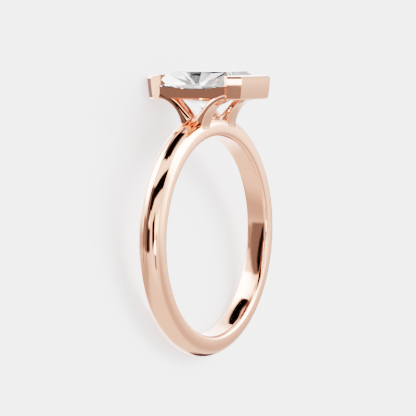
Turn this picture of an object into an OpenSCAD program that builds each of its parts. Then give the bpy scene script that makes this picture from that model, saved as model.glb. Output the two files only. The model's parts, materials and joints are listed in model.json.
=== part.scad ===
// Bezel set ring: a cut-cornered stone held at its two ends over a slim round-backed band.
// The ring is drawn upright, finger hole along Y and stone at the top, and is then laid on its side.

/* [Band] */
// Diameter of the finger hole
finger_hole_d = 17; // [15:0.1:21]
// Width of the band along the finger
band_w = 2.1; // [1.8:0.1:2.6]
// Thickness of the band at the back of the finger
band_t = 1.83; // [1.6:0.01:2.4]
// Extra thickness that the band gains towards the stone
shoulder_gain = 0.1; // [0:0.01:0.3]
// Thickness left between the arms, under the stone
saddle_t = 1.4; // [1.2:0.05:1.8]
// Rounding of the inside edges, for comfort
comfort_r = 0.35; // [0.1:0.05:0.5]

/* [Stone] */
// Length of the stone, along the finger
stone_l = 8; // [7:0.1:9]
// Width of the stone, across the finger
stone_w = 6; // [5.5:0.1:6.5]
// How far each corner of the stone is cut back along both sides
corner_cut = 0.735; // [0.4:0.005:1]
// Height of the girdle's lower edge over the centre of the finger hole
girdle_z = 12.74; // [12.5:0.01:13]
// Thickness of the girdle
girdle_t = 0.18; // [0.08:0.01:0.25]
// Depth of the pavilion, from the girdle down to the culet
pavilion_h = 2.08; // [1.8:0.01:2.2]
// Height of the steep lower part of the crown
crown_break_h = 0.7; // [0.5:0.01:0.8]
// How far the steep part of the crown leans in
crown_break_in = 0.5; // [0.35:0.01:0.6]
// Height of the crown, from the girdle up to the table
crown_h = 1.05; // [0.95:0.01:1.2]
// Length of the table
table_l = 5.3; // [4.6:0.1:5.8]
// Width of the table
table_w = 3.8; // [3.2:0.1:4.2]

/* [Bezel] */
// Thickness of the end walls, halfway up
wall_t = 0.5; // [0.4:0.05:0.7]
// Height of the end walls
wall_h = 1.95; // [1.8:0.05:2.1]
// How far the end walls lean outwards at the top
wall_lean = 6.5; // [0:0.5:8]
// Overlap of the walls' rim over the stone
rim_over = 0.18; // [0.1:0.01:0.25]
// How much higher the rim is at the stone than at its bevel
rim_rise = 0.08; // [0:0.01:0.12]
// Bevel on the walls' upper outer edges
wall_bevel = 0.2; // [0.1:0.01:0.25]
// Bevel on the lower outer edges of the walls and rails
foot_bevel = 0.12; // [0.05:0.01:0.15]

/* [Gallery rails] */
// Distance from the stone's edge in to the outer face of a rail
rail_inset = 0.12; // [0.05:0.01:0.2]
// Thickness of a rail
rail_t = 0.5; // [0.4:0.05:0.7]
// Lowest height of a rail's upper edge, at mid-length
rail_top_z = 12.61; // [12.55:0.01:12.65]
// Radius of the long dip in a rail's upper edge
rail_dip_r = 32; // [25:1:60]

/* [Arms] */
// Distance from the middle of the ring to the inner faces of the arms
arm_inner_x = 1.36; // [1.1:0.01:1.6]
// Distance from the middle of the ring to the outer faces of the arms
arm_outer_x = 2.92; // [2.7:0.01:3]
// Height of the foot of the V between two arms
notch_z = 10.04; // [9.9:0.01:10.2]
// Rounding at the foot of the V
notch_r = 0.2; // [0.1:0.05:0.3]
// Radius of the arms' upper curve
arm_top_r = 3.8; // [3.6:0.05:4]
// Radius of the arms' lower curve
arm_under_r = 2.5; // [2.3:0.05:2.6]

/* [Hidden] */
$fn = 120;
seat_gap = 0.025;           // running gap between stone and metal
big = 30;                   // larger than the whole ring
hole_r = finger_hole_d / 2;
back_r = hole_r + band_t;
edge_r = band_w / 2;        // the band's back is a half round
rim_centre_r = back_r - edge_r;
wall_foot_z = 11.65;        // lower edge of the end walls and the rails
wall_top_z = wall_foot_z + wall_h;
arm_top_centre = [3.99, 8.71];           // centre of the upper curve, in Y and Z
arm_under_centre = [edge_r + arm_under_r, 9.2];
arm_foot_z = 9;                          // buried in the band
table_z = girdle_z + girdle_t + crown_h;
half_w = stone_w / 2;
half_l = stone_l / 2;                    // the arms run this far, into the end walls
corner_az = 45;
corner_d = (half_w + half_l - corner_cut) * sin(corner_az);  // the corner sides' distance from the middle
table_corner_d = 3;
seat_line = half_l - corner_cut - half_w;             // the cut through a corner of the stone, at 45 degrees

// Lying on its side the ring touches the surface with the band's back and one end wall's foot.
foot_edge_y = half_l + wall_t - tan(wall_lean) * (wall_h / 2 - foot_bevel);
foot_edge_z = wall_foot_z + foot_bevel;
touch_span = norm([foot_edge_y, rim_centre_r + foot_edge_z]);
rest_tilt = acos(edge_r / touch_span) - atan2(rim_centre_r + foot_edge_z, foot_edge_y);
rest_height = rim_centre_r * sin(rest_tilt) + edge_r;
far_end_y = table_z * cos(rest_tilt) + table_l / 2 * sin(rest_tilt);
near_end_y = -rim_centre_r * cos(rest_tilt) - edge_r;

module at_rest() {
    translate([0, -(far_end_y + near_end_y) / 2, rest_height])
        rotate([rest_tilt - 90, 0, 0])
            children();
}

// Turns a round form's axis onto the finger's direction
module along_finger() {
    rotate([90, 0, 0]) children();
}

// Extrudes a profile drawn in Y and Z from x0 to x1
module across(x0, x1) {
    translate([x0, 0, 0]) rotate([90, 0, 90]) linear_extrude(x1 - x0) children();
}

// The stone's outline seen from above, moved outwards by grow
function outline(grow) =
    let (x = half_w + grow, y = half_l + grow, d = corner_d + grow)
    let (cut_x = d * sqrt(2) - y, cut_y = d * sqrt(2) - x)
    [[x, cut_y], [cut_x, y], [-cut_x, y], [-x, cut_y],
     [-x, -cut_y], [-cut_x, -y], [cut_x, -y], [x, -cut_y]];

module band() {
    difference() {
        translate([0, 0, shoulder_gain / 2]) along_finger() rotate_extrude($fn = 180) band_rim();
        along_finger() rotate_extrude($fn = 180) finger_hole();
        saddle();
    }
}

// Half section of the band before the finger hole is cut
module band_rim() {
    rim_x = rim_centre_r + shoulder_gain / 2;
    translate([0, -edge_r]) square([rim_x, band_w]);
    intersection() {
        translate([rim_x, 0]) circle(edge_r);
        translate([0, -edge_r]) square([rim_x + edge_r, band_w]);
    }
}

// Half section of the finger hole, whose mouths are rounded
module finger_hole() {
    mouth = edge_r + 1;
    translate([0, -mouth]) square([hole_r, 2 * mouth]);
    for (side = [-1, 1])
        difference() {
            translate([0, side > 0 ? edge_r - comfort_r : -mouth])
                square([hole_r + comfort_r, mouth - edge_r + comfort_r]);
            translate([hole_r + comfort_r, side * (edge_r - comfort_r)]) circle(comfort_r, $fn = 48);
        }
}

// Thins the band between the arms
module saddle() {
    saddle_x = (arm_inner_x + arm_outer_x) / 2;
    difference() {
        translate([-saddle_x, -band_w, arm_foot_z]) cube([2 * saddle_x, 2 * band_w, back_r - arm_foot_z + 1]);
        along_finger() cylinder(r = hole_r + saddle_t, h = big, center = true);
    }
}

// Side view of one pair of arms, which spread from the band to the two ends of the stone
module yoke_profile() {
    notch_span = norm([arm_top_centre[0], arm_top_centre[1] - notch_z]);
    slope = atan2(arm_top_centre[1] - notch_z, arm_top_centre[0]) + asin(arm_top_r / notch_span);
    tangent = arm_top_centre + arm_top_r * [-sin(slope), cos(slope)];
    for (side = [0, 1])
        mirror([side, 0])
            difference() {
                intersection() {
                    union() {
                        translate(arm_top_centre) circle(arm_top_r);
                        polygon([[0, arm_foot_z], [0, notch_z], tangent, arm_top_centre,
                                 [arm_top_centre[0], arm_foot_z]]);
                    }
                    translate([0, arm_foot_z]) square([half_l, girdle_z - arm_foot_z]);
                }
                translate(arm_under_centre) circle(arm_under_r);
            }
    fillet_centre_z = notch_z + notch_r / cos(slope);
    difference() {
        polygon([[0, notch_z - notch_r / 2],
                 [notch_r * sin(slope), fillet_centre_z - notch_r * cos(slope)],
                 [-notch_r * sin(slope), fillet_centre_z - notch_r * cos(slope)]]);
        translate([0, fillet_centre_z]) circle(notch_r, $fn = 48);
    }
}

module arms() {
    across(arm_inner_x, arm_outer_x) yoke_profile();
    across(-arm_outer_x, -arm_inner_x) yoke_profile();
}

// Everything nearer than the leaning face of a wall, whose lower and upper edges are bevelled
module wall_face(azimuth, distance) {
    function face_d(z) = distance + tan(wall_lean) * (z - wall_foot_z - wall_h / 2);
    rim_d = distance - wall_t - rim_over;
    rotate([0, 0, azimuth - 90])
        across(-big / 2, big / 2)
            polygon([[-big, wall_foot_z],
                     [face_d(wall_foot_z) - foot_bevel, wall_foot_z],
                     [face_d(wall_foot_z + foot_bevel), wall_foot_z + foot_bevel],
                     [face_d(wall_top_z - wall_bevel), wall_top_z - wall_bevel],
                     [face_d(wall_top_z) - wall_bevel, wall_top_z],
                     [rim_d, wall_top_z + rim_rise],
                     [-big, wall_top_z + rim_rise]]);
}

// The wall round one end of the stone, cut off square at the stone's corners
module end_wall() {
    difference() {
        intersection() {
            wall_face(90, half_l + wall_t);
            wall_face(90 - corner_az, corner_d + wall_t);
            wall_face(90 + corner_az, corner_d + wall_t);
            linear_extrude(big) polygon([[0, seat_line], [big, big + seat_line], [-big, big + seat_line]]);
        }
        linear_extrude(big) polygon(outline(-rim_over));
    }
}

// Everything nearer than the upright outer face of a rail, whose lower edge is bevelled
module rail_face(azimuth) {
    face_d = half_w - rail_inset;
    rotate([0, 0, azimuth - 90])
        across(-big / 2, big / 2)
            polygon([[-big, wall_foot_z],
                     [face_d - foot_bevel, wall_foot_z],
                     [face_d, wall_foot_z + foot_bevel],
                     [face_d, girdle_z],
                     [-big, girdle_z]]);
}

// The frame under the stone, whose long sides are the rails
module gallery() {
    difference() {
        intersection() {
            linear_extrude(girdle_z) polygon(outline(-rail_inset));
            rail_face(0);
            rail_face(180);
        }
        linear_extrude(girdle_z + 1) polygon(outline(-rail_inset - rail_t));
        translate([0, 0, rail_top_z + rail_dip_r])
            rotate([0, 90, 0]) cylinder(r = rail_dip_r, h = big, center = true, $fn = 360);
    }
}

// Cuts away what lies above a crown facet that runs from a low edge to a high one,
// each given by its distance from the middle and its height
module crown_cut(azimuth, low, high, grow) {
    rotate([0, 0, azimuth]) translate([low[0], 0, low[1]])
        rotate([0, atan2(high[1] - low[1], low[0] - high[0]), 0])
            translate([-big / 2, -big / 2, grow]) cube([big, big, big / 2]);
}

// Cuts away what lies below a pavilion facet that runs from the girdle to the culet
module pavilion_cut(azimuth, girdle_d, grow) {
    rotate([0, 0, azimuth]) translate([girdle_d, 0, girdle_z])
        rotate([0, -atan2(pavilion_h, girdle_d), 0])
            translate([-big / 2, -big / 2, -grow - big / 2]) cube([big, big, big / 2]);
}

// The faceted stone, with every facet moved outwards by grow
module gem(grow = 0) {
    // azimuth, distance of the girdle and distance of the table, for each of the eight sides
    sides = [for (turn = [0 : 90 : 270])
                 each [[turn, turn % 180 == 0 ? half_w : half_l, turn % 180 == 0 ? table_w / 2 : table_l / 2],
                       [turn + corner_az, corner_d, table_corner_d]]];
    blank_foot_z = girdle_z - pavilion_h - 1;
    difference() {
        translate([0, 0, blank_foot_z]) linear_extrude(table_z + grow - blank_foot_z) polygon(outline(grow));
        for (side = sides) {
            break_edge = [side[1] - crown_break_in, girdle_z + girdle_t + crown_break_h];
            crown_cut(side[0], [side[1], girdle_z + girdle_t], break_edge, grow);
            crown_cut(side[0], break_edge, [side[2], table_z], grow);
            pavilion_cut(side[0], side[1], grow);
        }
    }
}

module mounting() {
    color("#E9B49A")
        at_rest()
            difference() {
                union() {
                    band();
                    arms();
                    gallery();
                    end_wall();
                    mirror([0, 1, 0]) end_wall();
                }
                gem(seat_gap);
            }
}

module stone() {
    color("#E8F1F2", 0.6) at_rest() gem();
}

mounting();
stone();
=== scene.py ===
# Bezel set ring: a slim rose gold band whose splayed arms carry a cut-cornered stone,
# held at its two ends by bezel walls. The ring lies on its side on a pale surface.
import json
import math

import bmesh
import bpy
from mathutils import Euler, Matrix, Vector


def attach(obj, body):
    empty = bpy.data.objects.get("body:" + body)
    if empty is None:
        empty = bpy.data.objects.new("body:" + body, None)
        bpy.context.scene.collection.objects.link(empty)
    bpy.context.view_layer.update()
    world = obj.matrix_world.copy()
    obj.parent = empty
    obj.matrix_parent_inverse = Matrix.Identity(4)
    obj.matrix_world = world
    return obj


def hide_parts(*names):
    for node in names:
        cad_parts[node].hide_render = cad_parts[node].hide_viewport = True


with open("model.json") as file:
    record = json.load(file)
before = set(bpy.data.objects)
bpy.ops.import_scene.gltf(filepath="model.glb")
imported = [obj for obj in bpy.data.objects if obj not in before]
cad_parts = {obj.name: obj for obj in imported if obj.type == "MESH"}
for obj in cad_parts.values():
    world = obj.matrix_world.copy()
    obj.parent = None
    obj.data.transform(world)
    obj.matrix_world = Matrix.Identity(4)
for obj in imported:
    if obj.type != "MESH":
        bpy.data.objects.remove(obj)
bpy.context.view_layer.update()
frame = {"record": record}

# The band
# One slim hoop of rose gold, cast, half round outside and flat inside, with its inner edges rounded
# for comfort. It grows a little towards the stone, and is filed down to a saddle between the arms.
hole = next(mount for mount in frame["record"]["mounts"] if mount["name"] == "finger_hole")
finger_r = hole["dims"]["r_mm"]
band_t = 1.83
band_half_w = 1.05
comfort_r = 0.35
shoulder_gain = 0.1
saddle_r = finger_r + 1.4
saddle_x = 2.14
saddle_step = 0.01
crown_r = finger_r + band_t - band_half_w + shoulder_gain / 2

# The ring lies on its side, on the back of its band and the foot of one end wall. Every piece is
# drawn upright in millimetres, with the finger hole along Y and the stone at the top, and is then
# laid where the frame has its finger hole.
ring_x = Vector((1, 0, 0))
ring_y = -Vector(hole["axis"]).normalized()
ring_z = ring_x.cross(ring_y)
turned = Matrix((ring_x, ring_y, ring_z)).transposed().to_4x4()
laid_down = Matrix.Translation(hole["pos_m"]) @ turned @ Matrix.Scale(0.001, 4)


def lay_piece(name, shape, material, cad_node):
    """Turns a shape drawn upright into a piece of the ring, in its place."""
    bmesh.ops.recalc_face_normals(shape, faces=shape.faces)
    shape.transform(laid_down)
    mesh = bpy.data.meshes.new(name)
    shape.to_mesh(mesh)
    shape.free()
    mesh.materials.append(material)
    piece = bpy.data.objects.new(name, mesh)
    bpy.context.scene.collection.objects.link(piece)
    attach(piece, "root")
    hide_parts(cad_node)
    return piece


def polish_edges(piece, width, segments):
    """Rounds the edges of a piece as polishing does, and keeps its flat faces flat."""
    for face in piece.data.polygons:
        face.use_smooth = True
    rounding = piece.modifiers.new("polished edges", "BEVEL")
    rounding.width = width / 1000
    rounding.segments = segments
    rounding.limit_method = "ANGLE"
    rounding.angle_limit = math.radians(24)
    rounding.harden_normals = True
    rounding.use_clamp_overlap = True


def draw_arc(shape, start, centre, axis, degrees, steps):
    """Draws an arc of edges from a vertex, and gives the vertex at its end."""
    arc = bmesh.ops.spin(
        shape, geom=[start], cent=centre, axis=axis, angle=math.radians(degrees), steps=steps,
        use_merge=False, use_duplicate=False,
    )
    return next(part for part in arc["geom_last"] if isinstance(part, bmesh.types.BMVert))


def draw_line(shape, start, end):
    """Draws one edge from a vertex to a point, and gives the vertex at its end."""
    corner = shape.verts.new(end)
    shape.edges.new((start, corner))
    return corner


def linear(hex_colour):
    """An sRGB hex colour as linear red, green and blue."""
    channels = [int(hex_colour[i:i + 2], 16) / 255 for i in (1, 3, 5)]
    return [c / 12.92 if c <= 0.04045 else ((c + 0.055) / 1.055) ** 2.4 for c in channels]


def add_node(tree, kind, settings=None, inputs=None):
    """Adds a node, sets its values, and links the inputs that are given as sockets."""
    node = tree.nodes.new(kind)
    for name, value in (settings or {}).items():
        setattr(node, name, value)
    for name, value in (inputs or {}).items():
        if isinstance(value, bpy.types.NodeSocket):
            tree.links.new(value, node.inputs[name])
        else:
            node.inputs[name].default_value = value
    return node


# Polished rose gold: a red gold alloy of about 14 karat, cast, then polished with rouge to a
# mirror. Light that reaches the eye by one reflection is pale pink, and by two or three it is deep
# orange. Real buffing marks are a few microns apart, so they are drawn as a haze in patches of
# 1.2 mm, over waves of 1.6 mm. A pattern's scale is one over its size in metres.
rose_gold = bpy.data.materials.new("polished_rose_gold")
rose_gold.use_nodes = True
tree = rose_gold.node_tree
gold = tree.nodes["Principled BSDF"]
gold.inputs["Metallic"].default_value = 1.0
metal_place = add_node(tree, "ShaderNodeTexCoord").outputs["Object"]
buffing = add_node(tree, "ShaderNodeTexNoise", inputs={
    "Vector": metal_place, "Scale": 1 / 0.0012, "Detail": 3, "Roughness": 0.6,
})
haze = add_node(tree, "ShaderNodeMapRange", inputs={
    "Value": buffing.outputs["Fac"], "From Min": 0.3, "From Max": 0.7, "To Min": 0.025, "To Max": 0.065,
})
tree.links.new(haze.outputs["Result"], gold.inputs["Roughness"])
alloy = add_node(tree, "ShaderNodeTexNoise", inputs={
    "Vector": metal_place, "Scale": 1 / 0.003, "Detail": 2,
})
tint = add_node(tree, "ShaderNodeMix", {"data_type": "RGBA"}, {
    0: alloy.outputs["Fac"], 6: (*linear("#F8A78A"), 1), 7: (*linear("#FAAB8E"), 1),
})
tree.links.new(tint.outputs[2], gold.inputs["Base Color"])
waves = add_node(tree, "ShaderNodeTexNoise", inputs={
    "Vector": metal_place, "Scale": 1 / 0.0016, "Detail": 1,
})
relief = add_node(tree, "ShaderNodeBump", inputs={
    "Height": waves.outputs["Fac"], "Distance": 0.000005,
})
tree.links.new(relief.outputs["Normal"], gold.inputs["Normal"])

band_shape = bmesh.new()
section_axis = (0, 0, 1)
pen = band_shape.verts.new((crown_r, -band_half_w, 0))
pen = draw_arc(band_shape, pen, (crown_r, 0, 0), section_axis, 180, 24)
pen = draw_line(band_shape, pen, (finger_r + comfort_r, band_half_w, 0))
pen = draw_arc(band_shape, pen, (finger_r + comfort_r, band_half_w - comfort_r, 0), section_axis, 90, 8)
pen = draw_line(band_shape, pen, (finger_r, comfort_r - band_half_w, 0))
pen = draw_arc(band_shape, pen, (finger_r + comfort_r, comfort_r - band_half_w, 0), section_axis, 90, 8)
band_shape.verts.ensure_lookup_table()
band_shape.edges.new((pen, band_shape.verts[0]))
for vertex in band_shape.verts:
    vertex.co.z = 0
bmesh.ops.spin(
    band_shape, geom=band_shape.verts[:] + band_shape.edges[:], cent=(0, 0, 0), axis=(0, 1, 0),
    angle=math.tau, steps=288, use_merge=True, use_duplicate=False,
)
for vertex in band_shape.verts:
    if math.hypot(vertex.co.x, vertex.co.z) > finger_r + comfort_r + 0.1:
        vertex.co.z += shoulder_gain / 2
for side in (-1, 1):
    for cut_x in (saddle_x, saddle_x + saddle_step):
        top = [face for face in band_shape.faces if face.calc_center_median().z > 0]
        around = {part for face in top for part in (*face.verts, *face.edges)}
        bmesh.ops.bisect_plane(
            band_shape, geom=top + list(around), dist=1e-5, plane_co=(side * cut_x, 0, 0),
            plane_no=(1, 0, 0),
        )
for vertex in band_shape.verts:
    radius = math.hypot(vertex.co.x, vertex.co.z)
    if vertex.co.z > 0 and abs(vertex.co.x) < saddle_x + saddle_step / 10 and radius > saddle_r:
        vertex.co.x *= saddle_r / radius
        vertex.co.z *= saddle_r / radius
band = lay_piece("band", band_shape, rose_gold, "mounting")
polish_edges(band, 0.04, 2)


# The arms
# Two yokes of the same gold rise from the band's shoulders, one on each side of the saddle. Each is
# a V whose arms spread to the two ends of the stone. Their outer sides are filed half round, with
# the ridge low down, their inner sides are eased at the edges, and all is polished.
arm_inner_x = 1.36
arm_outer_x = 2.92
arm_foot_z, foot_inset = 8.7, 0.06
notch_z = 10.04
notch_r = 0.2
arm_top_r = 3.8
arm_top_y, arm_top_z = 3.99, 8.71
arm_under_r = 2.5
arm_under_y, arm_under_z = band_half_w + arm_under_r, 9.2
outer_swell, edge_rounding, under_rounding, inner_rounding = 0.24, 0.25, 0.14, 0.4
ridge = 0.88
arm_end_y = 3.85
stone_half_w = 3.0
stone_half_l = 4.0

notch_span = math.hypot(arm_top_y, arm_top_z - notch_z)
slope = math.degrees(math.atan2(arm_top_z - notch_z, arm_top_y) + math.asin(arm_top_r / notch_span))
slope_y, slope_z = math.cos(math.radians(slope)), math.sin(math.radians(slope))
fillet_z = notch_z + notch_r / slope_y
tip_turn = math.degrees(math.asin((arm_end_y - arm_top_y) / arm_top_r))
under_y = arm_end_y - arm_under_y
under_z = math.sqrt(arm_under_r ** 2 - under_y ** 2)
under_turn = 180 - math.degrees(math.atan2(under_z, under_y))
across = (1, 0, 0)

# The upper and the lower edge of an arm have the same number of steps, so that they bridge with no
# twist. The lower edge has three of its steps at the foot.
notch_steps, straight_steps, bend_steps = 6, 10, 24
under_steps = notch_steps + straight_steps + bend_steps - 3

for side in (-1, 1):
    yoke_shape = bmesh.new()
    part_way = yoke_shape.verts.layers.float.new("part way from the upper edge to the lower")
    span = yoke_shape.verts.layers.float_vector.new("from the upper edge to the lower")
    x = arm_outer_x
    pen = yoke_shape.verts.new((x, 0, fillet_z - notch_r))
    pen = draw_arc(yoke_shape, pen, (x, 0, fillet_z), across, slope, notch_steps)
    straight = pen.co.copy()
    bend = Vector((x, arm_top_y - arm_top_r * slope_z, arm_top_z + arm_top_r * slope_y))
    for step in range(1, straight_steps + 1):
        pen = draw_line(yoke_shape, pen, straight.lerp(bend, step / straight_steps))
    draw_arc(yoke_shape, pen, (x, arm_top_y, arm_top_z), across, -slope - tip_turn, bend_steps)
    upper_verts = set(yoke_shape.verts)
    pen = yoke_shape.verts.new((x, 0, arm_foot_z))
    pen = draw_line(yoke_shape, pen, (x, band_half_w / 2, arm_foot_z))
    pen = draw_line(yoke_shape, pen, (x, band_half_w - foot_inset, arm_foot_z))
    pen = draw_line(yoke_shape, pen, (x, band_half_w, arm_under_z))
    draw_arc(yoke_shape, pen, (x, arm_under_y, arm_under_z), across, -under_turn, under_steps)
    for vertex in yoke_shape.verts:
        vertex[part_way] = 0 if vertex in upper_verts else 1
    both_edges = set(yoke_shape.edges)
    bmesh.ops.bridge_loops(yoke_shape, edges=list(both_edges))
    rungs = [edge for edge in yoke_shape.edges if edge not in both_edges]
    for rung in rungs:
        top, bottom = sorted(rung.verts, key=lambda vertex: vertex[part_way])
        top[span] = bottom[span] = bottom.co - top.co
    bmesh.ops.subdivide_edges(yoke_shape, edges=rungs, cuts=17, use_grid_fill=True)
    for vertex in yoke_shape.verts:
        lean = math.sin(math.radians(180 * vertex[part_way] - 90))
        reach = ridge if lean < 0 else 1 - ridge
        vertex.co += vertex[span] * (ridge + reach * lean - vertex[part_way])
        if lean < 0:
            vertex.co.x -= outer_swell * abs(lean) ** 2.5 + edge_rounding * abs(lean) ** 12
        else:
            vertex.co.x -= under_rounding * lean ** 2
    outer_side = yoke_shape.verts[:] + yoke_shape.edges[:] + yoke_shape.faces[:]
    bmesh.ops.mirror(yoke_shape, geom=outer_side, axis="Y", merge_dist=1e-4)
    outer_side = yoke_shape.verts[:] + yoke_shape.edges[:] + yoke_shape.faces[:]
    inner_side = bmesh.ops.duplicate(yoke_shape, geom=outer_side)
    for part in inner_side["geom"]:
        if isinstance(part, bmesh.types.BMVert):
            turn = math.radians(180 * part[part_way] - 90)
            part.co.x = arm_inner_x + inner_rounding * (1 - math.cos(turn))
    bmesh.ops.bridge_loops(yoke_shape, edges=[edge for edge in yoke_shape.edges if edge.is_boundary])
    if side < 0:
        bmesh.ops.scale(yoke_shape, vec=(-1, 1, 1), verts=yoke_shape.verts)
    name = "yoke_left" if side < 0 else "yoke_right"
    yoke = lay_piece(name, yoke_shape, rose_gold, "mounting")
    polish_edges(yoke, 0.03, 2)


# The stone
# A colourless stone cut as a rectangle with clipped corners, 8 by 6 mm. Its facets are ground flat
# on a lap at set angles, and polished until their edges are crisp. Its girdle is left ground.
corner_cut = 0.735
corner_d = (stone_half_w + stone_half_l - corner_cut) * math.sin(math.radians(45))
girdle_z = 12.74
girdle_t = 0.18
pavilion_h = 2.08
crown_h = 1.07
table_z = girdle_z + girdle_t + crown_h
seat_gap = 0.025
spare = 1


def keep_below(shape, point, normal):
    """Grinds away everything beyond a plane, and closes the cut with one flat facet."""
    cut = bmesh.ops.bisect_plane(
        shape, geom=shape.verts[:] + shape.edges[:] + shape.faces[:], dist=1e-6, plane_co=point,
        plane_no=normal, clear_outer=True,
    )
    rim = [part for part in cut["geom_cut"] if isinstance(part, bmesh.types.BMEdge)]
    if rim:
        bmesh.ops.contextual_create(shape, geom=rim)


def sloped_plane(azimuth, low, high, grow=0):
    """A point and the outward normal of a facet that rises from low to high, each given by its
    distance from the middle and its height."""
    outwards = Vector((math.cos(math.radians(azimuth)), math.sin(math.radians(azimuth)), 0))
    rise = Vector((0, 0, high[1] - low[1])) + outwards * (high[0] - low[0])
    normal = outwards * rise.z - Vector((0, 0, outwards.dot(rise)))
    normal.normalize()
    return outwards * low[0] + Vector((0, 0, low[1])) + normal * grow, normal


def block(half_x, half_y, low_z, high_z):
    """A rectangular block about the middle of the ring."""
    shape = bmesh.new()
    bmesh.ops.create_cube(shape, size=1)
    bmesh.ops.scale(shape, vec=(2 * half_x, 2 * half_y, high_z - low_z), verts=shape.verts)
    bmesh.ops.translate(shape, vec=(0, 0, (low_z + high_z) / 2), verts=shape.verts)
    return shape


def clip_outline(shape, grow):
    """Cuts a block to the stone's outline, moved outwards by grow."""
    sides = [(0, stone_half_w), (90, stone_half_l), (180, stone_half_w), (270, stone_half_l)]
    sides += [(azimuth, corner_d) for azimuth in (45, 135, 225, 315)]
    for azimuth, distance in sides:
        keep_below(shape, *sloped_plane(azimuth, (distance + grow, 0), (distance + grow, 1)))


# The facets of each kind of side. A row gives a point that the facet passes through, as how far
# along the side from its middle, how far in from it and how far above or below the girdle it is,
# then how far the facet is turned, and its slope, in degrees.
crown_cuts = {
    "long": ((0, 0, 0, 0, 42), (0.4, 0, 0, 5, 49.6), (2.4, 0, 0, 8, 46)),
    "short": ((0, 0, 0, 0, 40), (0.4, 0, 0, 3, 42), (1.5, 0, 0, 9, 40)),
    "corner": ((0, 0, 0, 0, 43), (0.2, 0, 0, 8, 45)),
}
pavilion_cuts = {
    "long": (
        (0, 0, 0, 0, 54), (1, 0, 0, 4, 55), (2.3, 0, 0, 9, 54),
        (0, stone_half_w, pavilion_h, 0, 29), (0, stone_half_w, pavilion_h, 14, 28),
    ),
    "short": (
        (0, 0, 0, 0, 50), (0.8, 0, 0, 5, 51), (1.6, 0, 0, 10, 50),
        (0, stone_half_l, pavilion_h, 0, 26.5), (0, stone_half_l, pavilion_h, 18, 23.5),
    ),
    "corner": (
        (0, 0, 0, 0, 54), (0.2, 0, 0, 8, 52),
        (0, corner_d, pavilion_h, 0, 24), (0, corner_d, pavilion_h, 9, 23.8),
    ),
}


def grind(shape, cuts, edge_z, upwards, grow):
    """Cuts the facets of the crown or of the pavilion round all eight sides of the stone."""
    for turn in range(0, 360, 45):
        kind = "corner" if turn % 90 else "short" if turn % 180 else "long"
        distance = {"long": stone_half_w, "short": stone_half_l, "corner": corner_d}[kind]
        side = Matrix.Rotation(math.radians(turn), 3, "Z")
        for along, inwards, off, turned_by, slope in cuts[kind]:
            for hand in (-1, 1) if turned_by else (1,):
                azimuth = math.radians(turn + hand * turned_by)
                incline = math.radians(slope)
                touch = side @ Vector((distance - inwards, hand * along, 0))
                touch.z = edge_z + upwards * off
                normal = Vector((
                    math.cos(azimuth) * math.sin(incline), math.sin(azimuth) * math.sin(incline),
                    upwards * math.cos(incline),
                ))
                keep_below(shape, touch + normal * grow, normal)


def cut_gem(grow):
    """The stone with every facet moved outwards by grow."""
    shape = block(
        stone_half_w + spare, stone_half_l + spare, girdle_z - pavilion_h - spare, table_z + grow)
    clip_outline(shape, grow)
    grind(shape, crown_cuts, girdle_z + girdle_t, 1, grow)
    grind(shape, pavilion_cuts, girdle_z, -1, grow)
    unused = [edge for edge in shape.edges if not edge.link_faces]
    bmesh.ops.delete(shape, geom=unused, context="EDGES")
    return shape


# Clear stone, polished: bright flashes and dark patches inside, and sharp reflections outside.
# It has a faint change of tone where it grew, and lap lines, which are really far too fine to see
# and are drawn 0.8 mm apart.
clear_stone = bpy.data.materials.new("faceted_clear_stone")
clear_stone.use_nodes = True
tree = clear_stone.node_tree
gem = tree.nodes["Principled BSDF"]
gem.inputs["Transmission Weight"].default_value = 1
gem.inputs["IOR"].default_value = 2.417
stone_place = add_node(tree, "ShaderNodeTexCoord").outputs["Object"]
growth = add_node(tree, "ShaderNodeTexNoise", inputs={
    "Vector": stone_place, "Scale": 1 / 0.002, "Detail": 1,
})
zoning = add_node(tree, "ShaderNodeMix", {"data_type": "RGBA"}, {
    0: growth.outputs["Fac"], 6: (*linear("#FFFFFF"), 1), 7: (*linear("#FBFDFC"), 1),
})
tree.links.new(zoning.outputs[2], gem.inputs["Base Color"])
lap_lines = add_node(tree, "ShaderNodeTexWave", inputs={
    "Vector": stone_place, "Scale": 1 / 0.0008, "Distortion": 2,
})
polish = add_node(tree, "ShaderNodeMapRange", inputs={
    "Value": lap_lines.outputs["Fac"], "To Min": 0, "To Max": 0.004,
})
tree.links.new(polish.outputs["Result"], gem.inputs["Roughness"])

# The girdle is the same stone, ground with a grit of 0.06 mm and not polished, so it looks frosted.
ground_stone = bpy.data.materials.new("ground_girdle")
ground_stone.use_nodes = True
tree = ground_stone.node_tree
frosted = tree.nodes["Principled BSDF"]
frosted.inputs["Base Color"].default_value = (*linear("#F4F5F4"), 1)
frosted.inputs["Transmission Weight"].default_value = 0.6
frosted.inputs["IOR"].default_value = 2.417
girdle_place = add_node(tree, "ShaderNodeTexCoord").outputs["Object"]
grit = add_node(tree, "ShaderNodeTexNoise", inputs={
    "Vector": girdle_place, "Scale": 1 / 0.00006, "Detail": 2,
})
matt = add_node(tree, "ShaderNodeMapRange", inputs={
    "Value": grit.outputs["Fac"], "To Min": 0.4, "To Max": 0.6,
})
tree.links.new(matt.outputs["Result"], frosted.inputs["Roughness"])
pits = add_node(tree, "ShaderNodeBump", inputs={"Height": grit.outputs["Fac"], "Distance": 0.000004})
tree.links.new(pits.outputs["Normal"], frosted.inputs["Normal"])

gem_shape = cut_gem(0)
girdle_faces = [
    face.index for face in gem_shape.faces
    if abs(face.normal.z) < 0.01 and abs(face.calc_center_median().z - girdle_z) < girdle_t
]
stone = lay_piece("cut_stone", gem_shape, clear_stone, "stone")
stone.data.materials.append(ground_stone)
for index in girdle_faces:
    stone.data.polygons[index].material_index = 1


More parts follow.
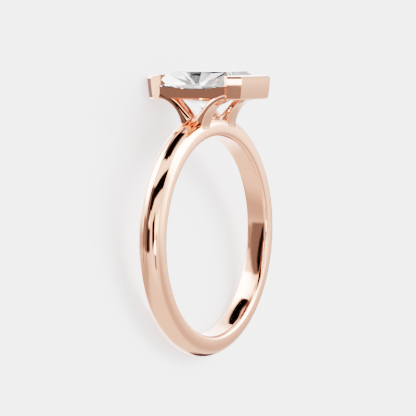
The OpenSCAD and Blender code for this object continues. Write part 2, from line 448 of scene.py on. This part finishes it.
# The end walls
# Two bezel walls of rose gold wrap the stone's ends and its clipped corners. Each leans outwards a
# little, is bevelled along its rim and its foot, and is filed square across the stone's corners.
# Their rims are pushed over the stone's edge to hold it, and then polished.
wall_t = 0.5
wall_foot_z = 11.65
wall_h = 1.95
wall_lean = math.tan(math.radians(6.5))
rim_over = 0.18
rim_rise = 0.08
wall_bevel = 0.2
foot_bevel = 0.12
wall_crowning = 0.02
crown_steps = 12
wall_top_z = wall_foot_z + wall_h
seat_line = stone_half_l - corner_cut - stone_half_w
big = 30
weld = 0.004


def take_away(shape, cutter):
    """Cuts one closed shape out of another, and joins corners that are closer than the weld."""
    solids = []
    for solid in (shape, cutter):
        bmesh.ops.recalc_face_normals(solid, faces=solid.faces)
        mesh = bpy.data.meshes.new("solid")
        solid.to_mesh(mesh)
        solids.append(bpy.data.objects.new("solid", mesh))
        bpy.context.scene.collection.objects.link(solids[-1])
    cut = solids[0].modifiers.new("cut", "BOOLEAN")
    cut.operation = "DIFFERENCE"
    cut.solver = "EXACT"
    cut.object = solids[1]
    result = solids[0].evaluated_get(bpy.context.evaluated_depsgraph_get())
    shape.clear()
    shape.from_mesh(result.to_mesh())
    for solid in solids:
        mesh = solid.data
        bpy.data.objects.remove(solid)
        bpy.data.meshes.remove(mesh)
    bmesh.ops.remove_doubles(shape, verts=shape.verts, dist=weld)
    bmesh.ops.dissolve_limit(shape, angle_limit=math.radians(0.2), verts=shape.verts, edges=shape.edges)


wall_shape = block(stone_half_w + 2, stone_half_l + 2, wall_foot_z, wall_top_z + rim_rise)
for azimuth, distance in ((90, stone_half_l + wall_t), (45, corner_d + wall_t), (135, corner_d + wall_t)):
    foot = (distance - wall_lean * (wall_h / 2 - foot_bevel), wall_foot_z + foot_bevel)
    rim = (distance + wall_lean * (wall_h / 2 - wall_bevel), wall_top_z - wall_bevel)
    foot_edge = (distance - wall_lean * wall_h / 2 - foot_bevel, wall_foot_z)
    bevel_top = (distance + wall_lean * wall_h / 2 - wall_bevel, wall_top_z)
    lip = (distance - wall_t - rim_over, wall_top_z + rim_rise)
    outline = [foot_edge]
    for step in range(crown_steps + 1):
        part = step / crown_steps
        swell = 4 * wall_crowning * part * (1 - part)
        outline.append((foot[0] + (rim[0] - foot[0]) * part + swell, foot[1] + (rim[1] - foot[1]) * part))
    outline += [bevel_top, lip]
    for low, high in zip(outline, outline[1:]):
        keep_below(wall_shape, *sloped_plane(azimuth, low, high))
for side in (-1, 1):
    keep_below(wall_shape, (0, seat_line, 0), Vector((side, -1, 0)).normalized())
opening_shape = block(big, big, wall_foot_z - spare, wall_top_z + spare)
clip_outline(opening_shape, -rim_over)
take_away(wall_shape, opening_shape)
take_away(wall_shape, cut_gem(seat_gap))
for name, side in (("end_wall_upper", -1), ("end_wall_lower", 1)):
    shape = wall_shape.copy()
    bmesh.ops.scale(shape, vec=(1, side, 1), verts=shape.verts)
    wall = lay_piece(name, shape, rose_gold, "mounting")
    polish_edges(wall, 0.05, 3)


# The gallery
# A light rose gold frame under the stone joins the two walls. Its long sides are the flat rails on
# which the stone's edges rest, and their upper edges dip a little at mid-length.
rail_inset = 0.12
rail_t = 0.5
rail_top_z = 12.61
rail_dip_r = 32
gallery_shape = block(stone_half_w + spare, stone_half_l + spare, wall_foot_z, girdle_z)
clip_outline(gallery_shape, -rail_inset)
rail_face = stone_half_w - rail_inset
for azimuth in (0, 180):
    keep_below(gallery_shape, *sloped_plane(
        azimuth, (rail_face - foot_bevel, wall_foot_z), (rail_face, wall_foot_z + foot_bevel)))
window = block(big, big, wall_foot_z - spare, girdle_z + spare)
clip_outline(window, -rail_inset - rail_t)
take_away(gallery_shape, window)
dip = bmesh.new()
bmesh.ops.create_cone(
    dip, segments=360, radius1=rail_dip_r, radius2=rail_dip_r, depth=big, cap_ends=True,
    matrix=Matrix.Translation((0, 0, rail_top_z + rail_dip_r)) @ Matrix.Rotation(math.radians(90), 4, "Y"),
)
take_away(gallery_shape, dip)
take_away(gallery_shape, cut_gem(seat_gap))
gallery = lay_piece("gallery", gallery_shape, rose_gold, "mounting")
polish_edges(gallery, 0.03, 2)


# The surface
# A wide sheet of pale uncoated paper, lit evenly from behind so that only a soft shadow falls on
# it. The polished metal and the stone see the studio's cards in its place.
floor_shape = bmesh.new()
bmesh.ops.create_grid(floor_shape, x_segments=1, y_segments=1, size=2.0)
floor_mesh = bpy.data.meshes.new("floor")
floor_shape.to_mesh(floor_mesh)
floor_shape.free()
floor = bpy.data.objects.new("floor", floor_mesh)
bpy.context.scene.collection.objects.link(floor)
floor.visible_glossy = False
floor.visible_transmission = False

# Uncoated paper, dry and slightly rough, with fibres of about 0.5 mm.
paper = bpy.data.materials.new("pale_paper")
paper.use_nodes = True
tree = paper.node_tree
sheet = tree.nodes["Principled BSDF"]
sheet.inputs["Emission Color"].default_value = (1, 1, 1, 1)
sheet.inputs["Emission Strength"].default_value = 0.85
paper_place = add_node(tree, "ShaderNodeTexCoord").outputs["Object"]
fibres = add_node(tree, "ShaderNodeTexNoise", inputs={
    "Vector": paper_place, "Scale": 1 / 0.0005, "Detail": 4,
})
pulp = add_node(tree, "ShaderNodeMix", {"data_type": "RGBA"}, {
    0: fibres.outputs["Fac"], 6: (*linear("#C0C0C0"), 1), 7: (*linear("#C4C4C4"), 1),
})
tree.links.new(pulp.outputs[2], sheet.inputs["Base Color"])
dryness = add_node(tree, "ShaderNodeMapRange", inputs={
    "Value": fibres.outputs["Fac"], "To Min": 0.85, "To Max": 0.95,
})
tree.links.new(dryness.outputs["Result"], sheet.inputs["Roughness"])
tooth = add_node(tree, "ShaderNodeBump", inputs={"Height": fibres.outputs["Fac"], "Distance": 0.00001})
tree.links.new(tooth.outputs["Normal"], sheet.inputs["Normal"])
floor_mesh.materials.append(paper)

# The studio
# A photographer's table for jewels: pale walls, two soft boxes, and narrow black cards between them
# whose reflections draw the dark lines along the polished metal. Each card hangs in front of those
# before it, and is placed by how the upright ring sees it: direction, roll and size, in degrees.
world = bpy.data.worlds.new("studio")
bpy.context.scene.world = world
world.use_nodes = True
world.cycles.sampling_method = "MANUAL"
world.cycles.sample_map_resolution = 128
studio = world.node_tree
sight = add_node(studio, "ShaderNodeTexCoord").outputs["Generated"]
side_on = 0.02


def hang_card(light, azimuth, elevation, roll, width, height, softness, level):
    """Hangs a flat card or soft box in front of the light that is there, and gives the new light."""
    hung = Euler((math.radians(roll), -math.radians(elevation), math.radians(azimuth))).to_matrix()
    ahead, aside, above = [
        add_node(studio, "ShaderNodeVectorMath", {"operation": "DOT_PRODUCT"}, {
            0: sight, 1: turned.to_3x3() @ direction,
        }).outputs["Value"]
        for direction in hung.col
    ]
    facing = add_node(studio, "ShaderNodeMath", {"operation": "GREATER_THAN"}, {0: ahead, 1: side_on})
    distance = add_node(studio, "ShaderNodeMath", {"operation": "MAXIMUM"}, {0: ahead, 1: side_on})
    shown = facing.outputs[0]
    blur = math.tan(math.radians(softness / 2))
    for offset, size in ((aside, width), (above, height)):
        edge = math.tan(math.radians(size / 2))
        spread = add_node(studio, "ShaderNodeMath", {"operation": "DIVIDE"}, {
            0: offset, 1: distance.outputs[0],
        })
        apart = add_node(studio, "ShaderNodeMath", {"operation": "ABSOLUTE"}, {0: spread.outputs[0]})
        within = add_node(studio, "ShaderNodeMapRange", {"interpolation_type": "SMOOTHSTEP"}, {
            "Value": apart.outputs[0], "From Min": max(edge - blur, 0), "From Max": edge + blur,
            "To Min": 1, "To Max": 0,
        })
        both = add_node(studio, "ShaderNodeMath", {"operation": "MULTIPLY"}, {
            0: shown, 1: within.outputs[0],
        })
        shown = both.outputs[0]
    seen = add_node(studio, "ShaderNodeMix", {"data_type": "FLOAT"}, {0: shown, 2: light, 3: level})
    return seen.outputs[0]


upwards = add_node(studio, "ShaderNodeVectorMath", {"operation": "DOT_PRODUCT"}, {
    0: sight, 1: turned.to_3x3() @ Vector((0, 0, 1)),
})
pale_walls = add_node(studio, "ShaderNodeMapRange", {"interpolation_type": "SMOOTHSTEP"}, {
    "Value": upwards.outputs["Value"], "From Min": -0.25, "From Max": 0.1, "To Min": 1.7, "To Max": 2.4,
})
light = pale_walls.outputs[0]
for card in (
    # azimuth, elevation, roll, width, height, softness, level
    (45, -18, 0, 40, 60, 30, 3.3),
    (120, -28, 0, 90, 30, 25, 0.9),
    (318, -24, 0, 84, 34, 24, 1.05),
    (225, -18, 0, 50, 30, 25, 2.3),
    (27, -20, 0, 5, 32, 3, 0.4),
    (133, -10, 32, 30, 4, 4, 0.2),
    (220, 64, 0, 120, 18, 16, 3.2),
    (42, 12, 0, 40, 50, 16, 5.5),
    (92, 34, 0, 76, 58, 16, 3.2),
    (106, 40, 0, 34, 34, 20, 22),
    (122, 50, -40, 28, 8, 6, 18),
    (310, 22, 0, 52, 48, 20, 4.5),
    (306, 23, -42, 54, 18, 16, 22),
    (250, 7, 0, 28, 12, 8, 5.5),
    (346, 30, 0, 18, 24, 10, 1.2),
    (162, 17, 0, 33, 56, 5, 0.3),
    (172, 30, 0, 16, 30, 10, 0.14),
    (155, 13, 9, 3, 56, 1.5, 0.003),
    (217, 43, 0, 80, 18, 3, 0.003),
    (186.5, 35, 0, 23, 22, 4, 0.01),
    (222, 26, 0, 50, 8, 6, 2.8),
    (184, -1, 0, 22, 20, 4, 0.2),
    (175.5, 2, 0, 17, 28, 3, 0.003),
    (179, 16, -40, 14, 8, 3, 5),
    (221, 5, 20, 20, 24, 3, 0.003),
    (241, -7, 0, 12, 9, 2, 14),
    (241, -16.5, 0, 14, 10, 1, 0.45),
    (251, -2, 0, 6, 7, 2, 0.05),
    (58, -4.5, 0, 16, 8, 2, 0.4),
    (35, 71, 25, 50, 14, 5, 0.3),
    (64, 58.5, 28, 42, 6, 2, 0.003),
    (285, 78, 0, 31, 24, 4, 0.06),
    (0, 90, 0, 34, 34, 3, 0.003),
    (288, 71.5, 0, 20, 3.5, 1.5, 0.3),
    (108, -3, 0, 58, 12, 8, 1.0),
    (134, 4, 0, 26, 24, 6, 0.42),
    (14, -6, 0, 50, 11, 7, 0.8),
    (13, -46, 0, 18, 10, 5, 0.6),
    (20, -29.5, 0, 9, 11, 2, 0.06),
    (17, -38, 0, 18, 14, 4, 0.08),
    (174, 24, 0, 10, 18, 4, 0.005),
    (222, 16, 0, 6, 7, 2, 0.06),
):
    light = hang_card(light, *card)
background = studio.nodes["Background"]
studio.links.new(light, background.inputs["Strength"])
background.inputs["Color"].default_value = (1, 1, 1, 1)

# The camera
# It sees the ring as the photograph does, from 30 degrees above the surface and rolled. Its place is
# given in the upright ring's millimetres: how far back it stands, and how far aside and up.
camera_back = Vector((-0.86473626, -0.49564006, 0.08106875))
camera_right = Vector((0.49727684, -0.86759192, 0))
camera_up = camera_back.cross(camera_right)
camera_distance = 180
camera_aside, camera_lift = -0.065, 2.346
photo_px, focal_px = 416, 2111.04
camera_data = bpy.data.cameras.new("camera")
camera_data.sensor_width = 36
camera_data.lens = camera_data.sensor_width * focal_px / photo_px
camera_data.clip_start = 0.01
camera_data.clip_end = 10
camera = bpy.data.objects.new("camera", camera_data)
bpy.context.scene.collection.objects.link(camera)
seat = camera_right * camera_aside + camera_up * camera_lift + camera_back * camera_distance
camera_turn = Matrix([turned.to_3x3() @ side for side in (camera_right, camera_up, camera_back)])
camera.matrix_world = Matrix.Translation(laid_down @ seat) @ camera_turn.transposed().to_4x4()
bpy.context.scene.camera = camera
view = bpy.context.scene.view_settings
view.view_transform = "Filmic"
view.look = "Medium High Contrast"
